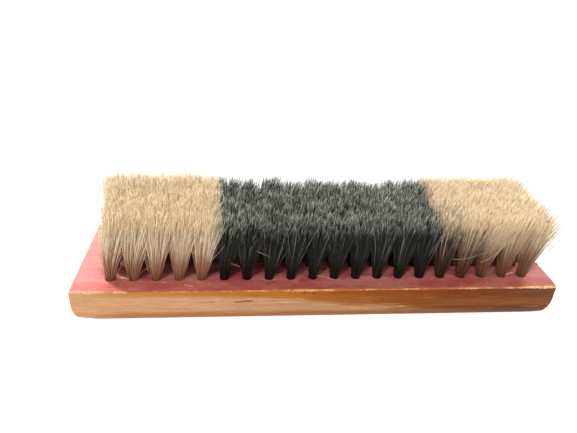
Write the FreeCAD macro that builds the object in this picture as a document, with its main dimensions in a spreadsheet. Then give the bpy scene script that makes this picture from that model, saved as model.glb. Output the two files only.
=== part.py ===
# Clothes brush: a one-piece wooden block with a hundred bristle tufts in five
# rows of twenty.  Each tuft is folded over a flat wire anchor and driven into
# a blind hole.  Every row runs through three sections: five pale tufts, ten
# dark tufts and five pale tufts.
#
# Frame: millimetres, origin at the centre of the underside, +X along the
# length, +Y to the back, +Z up.  The block lies on its flat underside with the
# bristles pointing up.
import FreeCAD, Part
import os
import Sketcher

V = FreeCAD.Vector
doc = FreeCAD.newDocument("clothes_brush")

# --------------------------------------------------------------------------
# driving dimensions
# --------------------------------------------------------------------------
sheet = doc.addObject("Spreadsheet::Sheet", "dims")
CELLS = [
    ("block_length", 191.0, "block, end to end"),
    ("block_width", 50.0, "block, front to back"),
    ("block_thickness", 14.5, "block, underside to bristle face"),
    ("end_round_left", 7.0, "rounding under the left end"),
    ("end_round_right", 8.0, "rounding under the right end"),
    ("side_round", 3.5, "rounding of the lower long edges"),
    ("corner_round", 0.9, "rounding of the four upright corners"),
    ("face_break", 0.45, "small worn break round the bristle face"),
    ("hole_radius", 1.8, "tuft hole"),
    ("hole_depth", 8.0, "tuft hole, blind"),
    ("pitch_length", 8.7, "tuft spacing along the block"),
    ("pitch_width", 8.25, "row spacing across the block"),
    ("first_hole_x", -81.52, "leftmost tuft axis"),
    ("first_hole_y", -16.5, "front row of tuft axes"),
    ("wire_gauge", 0.4, "anchor, thickness of the flat wire"),
    ("wire_height", 2.2, "anchor, height of the flat wire"),
    ("wire_span", 4.6, "anchor, length; its ends bite into the hole wall"),
    ("wire_lift", 0.6, "bristle fold under the anchor"),
    ("bristle_free", 26.5, "bristles above the face"),
    ("dark_short", 1.2, "how much shorter the dark section is worn"),
    ("neck_rise", 5.0, "tuft stays bound for this height"),
    ("neck_radius", 2.05, "tuft radius there"),
    ("mid_rise", 14.5, "height of the third section"),
    ("mid_radius", 2.95, "tuft radius there"),
    ("tip_radius", 3.78, "tuft radius at the tips"),
    ("lean", 1.4, "tips lean this far towards +X"),
    ("count_end", 5, "tufts in a row of an end section"),
    ("count_mid", 10, "tufts in a row of the middle section"),
    ("row_count", 5, "rows across the block"),
]
for i, (alias, value, what) in enumerate(CELLS, start=1):
    sheet.set("A%d" % i, alias)
    sheet.set("B%d" % i, "%g" % value)
    sheet.set("C%d" % i, what)
    sheet.setAlias("B%d" % i, alias)
doc.recompute()


# --------------------------------------------------------------------------
# small helpers
# --------------------------------------------------------------------------
def origin_feature(body, role):
    for f in body.Origin.OriginFeatures:
        if f.Role == role:
            return f
    raise RuntimeError("no origin feature " + role)


def new_body(label, compound=False):
    body = doc.addObject("PartDesign::Body", label)
    body.Label = label
    body.AllowCompound = compound
    return body


def new_sketch(body, name, plane, lift=None):
    s = body.newObject("Sketcher::SketchObject", name)
    s.AttachmentSupport = [(origin_feature(body, plane), "")]
    s.MapMode = "FlatFace"
    if lift is not None:
        s.setExpression("AttachmentOffset.Base.z", lift)
    return s


def driven(s, constraint, expression):
    """Add a constraint and bind its value to the sheet."""
    i = s.addConstraint(constraint)
    s.setExpression("Constraints[%d]" % i, expression)
    return i


def circle(s, radius, x_offset=None):
    g = s.addGeometry(Part.Circle(V(0.5, 0, 0), V(0, 0, 1), 2.0), False)
    driven(s, Sketcher.Constraint("Radius", g, 2.0), radius)
    if x_offset is None:
        s.addConstraint(Sketcher.Constraint("Coincident", g, 3, -1, 1))
    else:
        s.addConstraint(Sketcher.Constraint("PointOnObject", g, 3, -1))
        driven(s, Sketcher.Constraint("DistanceX", -1, 1, g, 3, 0.5), x_offset)
    return g


def rectangle(s, size_x, size_y, x0=1.0, y0=1.0):
    """Rectangle centred on the sketch origin."""
    p = [V(-x0, -y0, 0), V(x0, -y0, 0), V(x0, y0, 0), V(-x0, y0, 0)]
    g = [s.addGeometry(Part.LineSegment(p[k], p[(k + 1) % 4]), False) for k in range(4)]
    for k in range(4):
        s.addConstraint(Sketcher.Constraint("Coincident", g[k], 2, g[(k + 1) % 4], 1))
    s.addConstraint(Sketcher.Constraint("Horizontal", g[0]))
    s.addConstraint(Sketcher.Constraint("Horizontal", g[2]))
    s.addConstraint(Sketcher.Constraint("Vertical", g[1]))
    s.addConstraint(Sketcher.Constraint("Vertical", g[3]))
    s.addConstraint(Sketcher.Constraint("Symmetric", g[0], 1, g[1], 2, -1, 1))
    driven(s, Sketcher.Constraint("DistanceX", g[0], 1, g[0], 2, 2 * x0), size_x)
    driven(s, Sketcher.Constraint("DistanceY", g[1], 1, g[1], 2, 2 * y0), size_y)
    return g


def pattern_x(body, name, originals, axis_sketch, count, pitch):
    pat = body.newObject("PartDesign::LinearPattern", name)
    pat.Originals = originals
    pat.Direction = (axis_sketch, ["H_Axis"])
    pat.Mode = "Spacing"
    pat.setExpression("Offset", pitch)
    pat.setExpression("Occurrences", count)
    body.Tip = pat
    return pat


def pattern_xy(body, name, originals, axis_sketch, count_x, pitch_x, count_y, pitch_y):
    pat = pattern_x(body, name, originals, axis_sketch, count_x, pitch_x)
    pat.Direction2 = (axis_sketch, ["V_Axis"])
    pat.Mode2 = "Spacing"
    pat.setExpression("Offset2", pitch_y)
    pat.setExpression("Occurrences2", count_y)
    return pat


# --------------------------------------------------------------------------
# wooden block
# --------------------------------------------------------------------------
block = new_body("wooden_block")

# side profile in XZ: flat top, square top corners, two rounded lower corners
L, T = 191.0, 14.5
RL, RR = 7.0, 8.0
prof = new_sketch(block, "block_profile", "XZ_Plane")
pts = {
    "tl": V(-L / 2, T, 0), "tr": V(L / 2, T, 0),
    "rr": V(L / 2, RR, 0), "br": V(L / 2 - RR, 0, 0),
    "bl": V(-L / 2 + RL, 0, 0), "ll": V(-L / 2, RL, 0),
}
g_top = prof.addGeometry(Part.LineSegment(pts["tl"], pts["tr"]), False)
g_right = prof.addGeometry(Part.LineSegment(pts["tr"], pts["rr"]), False)
g_arc_r = prof.addGeometry(Part.ArcOfCircle(
    Part.Circle(V(L / 2 - RR, RR, 0), V(0, 0, 1), RR), -1.5707963267948966, 0.0), False)
g_bottom = prof.addGeometry(Part.LineSegment(pts["br"], pts["bl"]), False)
g_arc_l = prof.addGeometry(Part.ArcOfCircle(
    Part.Circle(V(-L / 2 + RL, RL, 0), V(0, 0, 1), RL), 3.141592653589793, 4.71238898038469), False)
g_left = prof.addGeometry(Part.LineSegment(pts["ll"], pts["tl"]), False)
C = Sketcher.Constraint
for c in (
    C("Coincident", g_top, 2, g_right, 1),
    C("Tangent", g_right, 2, g_arc_r, 2),
    C("Tangent", g_arc_r, 1, g_bottom, 1),
    C("Tangent", g_bottom, 2, g_arc_l, 2),
    C("Tangent", g_arc_l, 1, g_left, 1),
    C("Coincident", g_left, 2, g_top, 1),
    C("Vertical", g_right),
    C("Vertical", g_left),
    C("PointOnObject", g_bottom, 1, -1),
    C("Symmetric", g_top, 1, g_top, 2, -2),
):
    prof.addConstraint(c)
driven(prof, C("DistanceX", g_top, 1, g_top, 2, L), "dims.block_length")
driven(prof, C("DistanceY", -1, 1, g_top, 2, T), "dims.block_thickness")
driven(prof, C("Radius", g_arc_r, RR), "dims.end_round_right")
driven(prof, C("Radius", g_arc_l, RL), "dims.end_round_left")

pad = block.newObject("PartDesign::Pad", "block_pad")
pad.Profile = prof
pad.SideType = "Symmetric"
pad.setExpression("Length", "dims.block_width")
doc.recompute()


def edges_of(shape, test):
    """Names of the edges whose every sampled point passes the test."""
    out = []
    for i, e in enumerate(shape.Edges, start=1):
        a, b = e.FirstParameter, e.LastParameter
        p = [e.valueAt(a + (b - a) * k / 4.0) for k in range(5)]
        if all(test(q) for q in p):
            out.append("Edge%d" % i)
    return out


def corner_cut(s, sx, sy, x, y, r, x_expr, y_expr, r_expr):
    """Closed outline between a square corner at (sx * x, sy * y) and its rounding.
    With sy = 0 the corner lies on the sketch's horizontal axis and rounds upwards."""
    up = -sy if sy else 1
    cx, cy = sx * x, sy * y
    ax, by = cx - sx * r, cy + up * r
    g1 = s.addGeometry(Part.LineSegment(V(ax, cy, 0), V(cx, cy, 0)), False)
    g2 = s.addGeometry(Part.LineSegment(V(cx, cy, 0), V(cx, by, 0)), False)
    mid = V(ax + sx * r * 0.70710678, by - up * r * 0.70710678, 0)
    g3 = s.addGeometry(Part.Arc(V(cx, by, 0), mid, V(ax, cy, 0)), False)
    # an arc's first point is the start of its counterclockwise run
    first, last = (1, 2) if sx * up < 0 else (2, 1)
    s.addConstraint(C("Coincident", g1, 2, g2, 1))
    s.addConstraint(C("Tangent", g2, 2, g3, first))
    s.addConstraint(C("Tangent", g1, 1, g3, last))
    s.addConstraint(C("Horizontal", g1))
    s.addConstraint(C("Vertical", g2))
    driven(s, C("Radius", g3, r), r_expr)
    if sx > 0:
        driven(s, C("DistanceX", -1, 1, g1, 2, x), x_expr)
    else:
        driven(s, C("DistanceX", g1, 2, -1, 1, x), x_expr)
    if sy > 0:
        driven(s, C("DistanceY", -1, 1, g1, 2, y), y_expr)
    elif sy < 0:
        driven(s, C("DistanceY", g1, 2, -1, 1, y), y_expr)
    else:
        s.addConstraint(C("PointOnObject", g1, 2, -1))


# lower long edges, rounded along the whole block
side_s = new_sketch(block, "side_rounding_section", "YZ_Plane")
for sx in (-1, 1):
    corner_cut(side_s, sx, 0, 25.0, 0.0, 3.5, "dims.block_width / 2", "", "dims.side_round")
side_cut = block.newObject("PartDesign::Pocket", "side_rounding")
side_cut.Profile = side_s
side_cut.Type = "ThroughAll"
side_cut.SideType = "Symmetric"
doc.recompute()
if not side_cut.Shape.Volume < pad.Shape.Volume - 200.0:
    raise RuntimeError("the side rounding cuts nothing")

# upright corners
corner_s = new_sketch(block, "corner_rounding_section", "XY_Plane")
for sx in (-1, 1):
    for sy in (-1, 1):
        corner_cut(corner_s, sx, sy, 95.5, 25.0, 0.9, "dims.block_length / 2",
                   "dims.block_width / 2", "dims.corner_round")
corner = block.newObject("PartDesign::Pocket", "corner_rounding")
corner.Profile = corner_s
corner.Type = "ThroughAll"
corner.SideType = "Symmetric"
doc.recompute()
if not corner.Shape.Volume < side_cut.Shape.Volume - 2.0:
    raise RuntimeError("the corner rounding cuts nothing")

names = edges_of(corner.Shape, lambda q: abs(q.z - T) < 1e-6)
top_fillet = block.newObject("PartDesign::Fillet", "face_break_edge")
top_fillet.Base = (corner, names)
top_fillet.setExpression("Radius", "dims.face_break")
doc.recompute()
solid_volume = top_fillet.Shape.Volume

# first hole, then its pattern: twenty along, five across
hole_s = new_sketch(block, "hole_sketch", "XY_Plane", "dims.block_thickness")
g = hole_s.addGeometry(Part.Circle(V(-80, -16, 0), V(0, 0, 1), 1.8), False)
driven(hole_s, C("Radius", g, 1.8), "dims.hole_radius")
driven(hole_s, C("DistanceX", -1, 1, g, 3, -80.0), "dims.first_hole_x")
driven(hole_s, C("DistanceY", -1, 1, g, 3, -16.0), "dims.first_hole_y")
hole = block.newObject("PartDesign::Pocket", "hole_pocket")
hole.Profile = hole_s
hole.setExpression("Length", "dims.hole_depth")
doc.recompute()
if not hole.Shape.Volume < solid_volume - 50.0:
    raise RuntimeError("the tuft hole cuts nothing")
pattern_xy(block, "hole_grid", [hole], hole_s,
           "dims.count_end * 2 + dims.count_mid", "dims.pitch_length",
           "dims.row_count", "dims.pitch_width")
doc.recompute()
holed_volume = block.Shape.Volume

# the slit that each anchor's two ends cut in the hole wall
slit_s = new_sketch(block, "slit_sketch", "XY_Plane",
                    "dims.block_thickness - dims.hole_depth + dims.wire_lift + dims.wire_height")
p = [V(-82, -19, 0), V(-81, -19, 0), V(-81, -14, 0), V(-82, -14, 0)]
g = [slit_s.addGeometry(Part.LineSegment(p[k], p[(k + 1) % 4]), False) for k in range(4)]
for k in range(4):
    slit_s.addConstraint(C("Coincident", g[k], 2, g[(k + 1) % 4], 1))
for c in (C("Horizontal", g[0]), C("Horizontal", g[2]), C("Vertical", g[1]), C("Vertical", g[3])):
    slit_s.addConstraint(c)
driven(slit_s, C("DistanceX", g[0], 1, g[0], 2, 1.0), "dims.wire_gauge")
driven(slit_s, C("DistanceY", g[1], 1, g[1], 2, 5.0), "dims.wire_span")
driven(slit_s, C("DistanceX", -1, 1, g[0], 1, -82.0), "dims.first_hole_x - dims.wire_gauge / 2")
driven(slit_s, C("DistanceY", -1, 1, g[0], 1, -19.0), "dims.first_hole_y - dims.wire_span / 2")
slit = block.newObject("PartDesign::Pocket", "slit_pocket")
slit.Profile = slit_s
slit.setExpression("Length", "dims.wire_height")
doc.recompute()
pattern_xy(block, "slit_grid", [slit], slit_s,
           "dims.count_end * 2 + dims.count_mid", "dims.pitch_length",
           "dims.row_count", "dims.pitch_width")
doc.recompute()
if not block.Shape.Volume < holed_volume - 20.0:
    raise RuntimeError("the anchor slits cut nothing")


# --------------------------------------------------------------------------
# tufts and anchors, one body per row and section
# --------------------------------------------------------------------------
def place(body, column, row):
    """The body's origin goes to the axis of its leftmost tuft."""
    body.setExpression("Placement.Base.x", "dims.first_hole_x + %s * dims.pitch_length" % column)
    body.setExpression("Placement.Base.y", "dims.first_hole_y + %d * dims.pitch_width" % row)


def make_tufts(label, column, row, count, free):
    body = new_body(label, compound=True)
    place(body, column, row)
    root = new_sketch(body, label + "_root", "XY_Plane",
                      "dims.block_thickness - dims.hole_depth")
    circle(root, "dims.hole_radius")
    shank = body.newObject("PartDesign::Pad", label + "_shank")
    shank.Profile = root
    shank.setExpression("Length", "dims.hole_depth")

    s0 = new_sketch(body, label + "_collar", "XY_Plane", "dims.block_thickness")
    circle(s0, "dims.hole_radius")
    s1 = new_sketch(body, label + "_neck", "XY_Plane", "dims.block_thickness + dims.neck_rise")
    circle(s1, "dims.neck_radius", "dims.lean * 0.08")
    s2 = new_sketch(body, label + "_waist", "XY_Plane", "dims.block_thickness + dims.mid_rise")
    circle(s2, "dims.mid_radius", "dims.lean * 0.42")
    s3 = new_sketch(body, label + "_tips", "XY_Plane", "dims.block_thickness + " + free)
    circle(s3, "dims.tip_radius", "dims.lean")
    doc.recompute()
    flare = body.newObject("PartDesign::AdditiveLoft", label + "_flare")
    flare.Profile = s0
    flare.Sections = [s1, s2, s3]
    flare.Ruled = True
    doc.recompute()

    fold = new_sketch(body, label + "_fold", "XY_Plane",
                      "dims.block_thickness - dims.hole_depth + dims.wire_lift + dims.wire_height")
    rectangle(fold, "dims.wire_gauge", "dims.wire_span", 0.2, 2.3)
    gap = body.newObject("PartDesign::Pocket", label + "_gap")
    gap.Profile = fold
    gap.setExpression("Length", "dims.wire_height")
    doc.recompute()
    if not gap.Shape.Volume < flare.Shape.Volume - 1.0:
        raise RuntimeError(label + ": the anchor gap cuts nothing")
    pattern_x(body, label + "_row", [shank, flare, gap], root, count, "dims.pitch_length")
    return body


def make_anchors(label, column, row, count):
    body = new_body(label, compound=True)
    place(body, column, row)
    s = new_sketch(body, label + "_section", "XY_Plane",
                   "dims.block_thickness - dims.hole_depth + dims.wire_lift")
    rectangle(s, "dims.wire_gauge", "dims.wire_span", 0.2, 2.3)
    wire = body.newObject("PartDesign::Pad", label + "_wire")
    wire.Profile = s
    wire.setExpression("Length", "dims.wire_height")
    doc.recompute()
    pattern_x(body, label + "_row", [wire], s, count, "dims.pitch_length")
    return body


parts = [block]
SECTIONS = [
    ("left", "light", "0", "dims.count_end", 5, "dims.bristle_free"),
    ("middle", "dark", "dims.count_end", "dims.count_mid", 10,
     "(dims.bristle_free - dims.dark_short)"),
    ("right", "light", "(dims.count_end + dims.count_mid)", "dims.count_end", 5,
     "dims.bristle_free"),
]
expected = {"wooden_block": 1}
for side, shade, column, count, n, free in SECTIONS:
    for row in range(5):
        tufts = "%s_%s_tufts_row_%d" % (side, shade, row + 1)
        anchors = "%s_anchors_row_%d" % (side, row + 1)
        parts.append(make_tufts(tufts, column, row, count, free))
        parts.append(make_anchors(anchors, column, row, count))
        expected[tufts] = n
        expected[anchors] = n
doc.recompute()

# --------------------------------------------------------------------------
# checks, then one STEP file per sub-part
# --------------------------------------------------------------------------
bad = []
for obj in doc.Objects:
    if "Invalid" in obj.State or "Error" in obj.State:
        bad.append("%s: %s" % (obj.Name, obj.State))
for body in parts:
    shape = body.Shape
    if shape.isNull() or not shape.isValid():
        bad.append(body.Label + ": null or not valid")
    elif len(shape.Solids) != expected[body.Label]:
        bad.append("%s: %d solids, not %d" % (body.Label, len(shape.Solids), expected[body.Label]))
if bad:
    raise RuntimeError("; ".join(bad))

os.makedirs("parts", exist_ok=True)
for body in parts:
    body.Shape.exportStep("parts/%s.step" % body.Label)
    b = body.Shape.BoundBox
    print("%-28s solids %3d  volume %10.1f  x %.2f %.2f  y %.2f %.2f  z %.2f %.2f" % (
        body.Label, len(body.Shape.Solids), body.Shape.Volume,
        b.XMin, b.XMax, b.YMin, b.YMax, b.ZMin, b.ZMax))
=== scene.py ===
import math

import bpy
import numpy as np
from mathutils import Matrix, Vector, noise


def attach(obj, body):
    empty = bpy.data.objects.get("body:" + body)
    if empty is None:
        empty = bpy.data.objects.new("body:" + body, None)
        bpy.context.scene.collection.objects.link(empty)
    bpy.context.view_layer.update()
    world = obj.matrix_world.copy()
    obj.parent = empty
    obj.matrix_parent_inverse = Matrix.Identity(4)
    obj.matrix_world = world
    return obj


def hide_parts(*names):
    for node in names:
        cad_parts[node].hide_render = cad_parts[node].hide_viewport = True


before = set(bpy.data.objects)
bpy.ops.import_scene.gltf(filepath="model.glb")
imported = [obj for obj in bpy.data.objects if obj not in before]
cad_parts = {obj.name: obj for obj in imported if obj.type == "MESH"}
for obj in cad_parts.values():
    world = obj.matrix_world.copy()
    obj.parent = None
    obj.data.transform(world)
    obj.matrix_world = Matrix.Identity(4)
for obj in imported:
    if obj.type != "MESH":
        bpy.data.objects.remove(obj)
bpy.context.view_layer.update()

MM = 0.001

# ---------------------------------------------------------------------------
# dimensions in millimetres, the same as the CAD sheet
# ---------------------------------------------------------------------------
LENGTH, WIDTH, THICK = 191.0, 50.0, 14.5
END_L, END_R, SIDE_R, CORNER_R = 7.0, 8.0, 3.5, 0.9
HOLE_R, HOLE_D = 1.8, 8.0
PX, PY = 8.7, 8.25
X0, Y0 = -81.52, -16.5
COLS, ROWS = 20, 5
FREE = 26.5

scene = bpy.context.scene
scene.view_settings.view_transform = "Standard"
scene.view_settings.look = "None"


def srgb(r, g, b):
    """0..255 display values to linear."""
    out = []
    for c in (r, g, b):
        c = c / 255.0
        out.append(c / 12.92 if c <= 0.04045 else ((c + 0.055) / 1.055) ** 2.4)
    return tuple(out)


# ---------------------------------------------------------------------------
# camera
# ---------------------------------------------------------------------------
def make_camera():
    pitch, yaw, roll = 0.510887, 0.107773, 0.054184
    cp, sp = math.cos(pitch), math.sin(pitch)
    cy, sy = math.cos(yaw), math.sin(yaw)
    fwd = Vector((sy * cp, cy * cp, -sp))
    right = Vector((cy, -sy, 0.0))
    up = right.cross(fwd)
    right2 = right * math.cos(roll) + up * math.sin(roll)
    up2 = -right * math.sin(roll) + up * math.cos(roll)
    data = bpy.data.cameras.new("camera")
    data.sensor_fit = "HORIZONTAL"
    data.sensor_width = 36.0
    data.lens = 32.526
    data.clip_start = 0.01
    data.clip_end = 50.0
    cam = bpy.data.objects.new("camera", data)
    scene.collection.objects.link(cam)
    m = Matrix.Identity(4)
    for k in range(3):
        m[k][0], m[k][1], m[k][2] = right2[k], up2[k], -fwd[k]
    m[0][3], m[1][3], m[2][3] = -0.032243, -0.184261, 0.136650
    cam.matrix_world = m
    scene.camera = cam


make_camera()


# ---------------------------------------------------------------------------
# mesh building from arrays
# ---------------------------------------------------------------------------
def mesh_from_arrays(name, verts, quads, tris, smooth=True):
    me = bpy.data.meshes.new(name)
    verts = np.asarray(verts, np.float32)
    quads = np.asarray(quads, np.int32).reshape(-1, 4)
    tris = np.asarray(tris, np.int32).reshape(-1, 3)
    me.vertices.add(len(verts))
    me.vertices.foreach_set("co", verts.ravel())
    loops = np.concatenate([quads.ravel(), tris.ravel()])
    me.loops.add(len(loops))
    me.loops.foreach_set("vertex_index", loops)
    starts = np.concatenate([np.arange(len(quads)) * 4, len(quads) * 4 + np.arange(len(tris)) * 3])
    me.polygons.add(len(starts))
    me.polygons.foreach_set("loop_start", starts.astype(np.int32))
    me.polygons.foreach_set("use_smooth", np.full(len(starts), smooth))
    me.update(calc_edges=True)
    me.validate(clean_customdata=False)
    return me


def add_float(me, name, values):
    a = me.attributes.new(name, "FLOAT", "POINT")
    a.data.foreach_set("value", np.asarray(values, np.float32))


def add_piece(name, me, material, body="root", replaces=()):
    ob = bpy.data.objects.new(name, me)
    scene.collection.objects.link(ob)
    if material is not None:
        me.materials.append(material)
    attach(ob, body)
    if replaces:
        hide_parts(*replaces)
    return ob


# ---------------------------------------------------------------------------
# node helpers
# ---------------------------------------------------------------------------
class Nodes:
    def __init__(self, material):
        material.use_nodes = True
        self.t = material.node_tree
        self.t.nodes.clear()

    def new(self, kind, **values):
        n = self.t.nodes.new(kind)
        for k, v in values.items():
            setattr(n, k, v)
        return n

    def link(self, a, b):
        self.t.links.new(a, b)

    def put(self, socket, value):
        if hasattr(value, "is_linked") or hasattr(value, "links"):
            self.t.links.new(value, socket)
        elif isinstance(value, tuple) and len(value) == 3 and socket.type == "RGBA":
            socket.default_value = (value[0], value[1], value[2], 1.0)
        else:
            socket.default_value = value

    def math(self, op, a, b=None, c=None, clamp=False):
        n = self.new("ShaderNodeMath", operation=op, use_clamp=clamp)
        self.put(n.inputs[0], a)
        if b is not None:
            self.put(n.inputs[1], b)
        if c is not None:
            self.put(n.inputs[2], c)
        return n.outputs[0]

    def mix(self, fac, a, b, blend="MIX"):
        n = self.new("ShaderNodeMix", data_type="RGBA", blend_type=blend, clamp_factor=True)
        self.put(n.inputs[0], fac)
        self.put(n.inputs[6], a)
        self.put(n.inputs[7], b)
        return n.outputs[2]

    def ramp(self, fac, stops, interpolation="LINEAR"):
        n = self.new("ShaderNodeValToRGB")
        n.color_ramp.interpolation = interpolation
        e = n.color_ramp.elements
        while len(e) < len(stops):
            e.new(0.5)
        for el, (p, c) in zip(e, stops):
            el.position = p
            if isinstance(c, tuple):
                el.color = (c[0], c[1], c[2], 1.0)
            else:
                el.color = (c, c, c, 1.0)
        self.put(n.inputs[0], fac)
        return n.outputs[0]

    def smooth(self, value, low, high):
        n = self.new("ShaderNodeMapRange", interpolation_type="SMOOTHSTEP", clamp=True)
        self.put(n.inputs[0], value)
        n.inputs[1].default_value = low
        n.inputs[2].default_value = high
        n.inputs[3].default_value = 0.0
        n.inputs[4].default_value = 1.0
        return n.outputs[0]

    def attribute(self, name):
        n = self.new("ShaderNodeAttribute", attribute_type="GEOMETRY", attribute_name=name)
        return n.outputs["Fac"]

    def scaled(self, vector, scale, offset=(0.0, 0.0, 0.0)):
        n = self.new("ShaderNodeMapping", vector_type="POINT")
        self.put(n.inputs[0], vector)
        n.inputs["Scale"].default_value = scale
        n.inputs["Location"].default_value = offset
        return n.outputs[0]

    def noise(self, vector, scale=1.0, detail=3.0, rough=0.55, distortion=0.0):
        n = self.new("ShaderNodeTexNoise")
        self.put(n.inputs["Vector"], vector)
        n.inputs["Scale"].default_value = scale
        n.inputs["Detail"].default_value = detail
        n.inputs["Roughness"].default_value = rough
        n.inputs["Distortion"].default_value = distortion
        return n.outputs[0]


# ---------------------------------------------------------------------------
# wooden block: real tuft holes, rounded ends and sides, worn top edge
# ---------------------------------------------------------------------------
def fbm(x, y, z, octaves=3):
    v, amp, tot = 0.0, 1.0, 0.0
    for _ in range(octaves):
        v += amp * noise.noise((x, y, z))
        tot += amp
        amp *= 0.5
        x, y, z = x * 2.03, y * 2.03, z * 2.03
    return v / tot


def plan_at(z):
    """Half outline of the block at height z: left x, right x and half width."""
    xl, xr, hy = -LENGTH / 2, LENGTH / 2, WIDTH / 2
    if z < END_L:
        xl += END_L - math.sqrt(max(END_L ** 2 - (END_L - z) ** 2, 0.0))
    if z < END_R:
        xr -= END_R - math.sqrt(max(END_R ** 2 - (END_R - z) ** 2, 0.0))
    if z < SIDE_R:
        hy -= SIDE_R - math.sqrt(max(SIDE_R ** 2 - (SIDE_R - z) ** 2, 0.0))
    return xl, xr, hy


def plan_point(px, py, z, spread=False):
    """Point of the full rectangle moved to the outline at height z, with its outward direction."""
    xl, xr, hy = plan_at(z)
    if px < -80.0:
        px = xl + (px + LENGTH / 2) * (-80.0 - xl) / (LENGTH / 2 - 80.0)
    elif px > 80.0:
        px = xr - (LENGTH / 2 - px) * (xr - 80.0) / (LENGTH / 2 - 80.0)
    if abs(py) > 15.0:
        py = math.copysign(15.0 + (abs(py) - 15.0) * (hy - 15.0) / 10.0, py)
    k = min(max(((2.7 if px < 0 else 1.9) - z) / 1.3, 0.0), 1.0)
    rc = CORNER_R + (5.0 if px < 0 else 6.0) * k * k * (3.0 - 2.0 * k)
    qx, qy = min(max(px, xl + rc), xr - rc), min(max(py, -hy + rc), hy - rc)
    dx, dy = px - qx, py - qy
    d = math.hypot(dx, dy)
    if d < 1e-9:
        return px, py, 0.0, 0.0
    if dx and dy:
        k = max(abs(dx), abs(dy)) / d
        px, py = qx + dx * k, qy + dy * k
    return px, py, dx / d, dy / d


def margin(a, b, steps):
    """Grid lines from the outline a to the cell border b, closer together at the outline."""
    t = np.linspace(0.0, 1.0, steps + 1) ** 1.9
    return a + (b - a) * t


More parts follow.
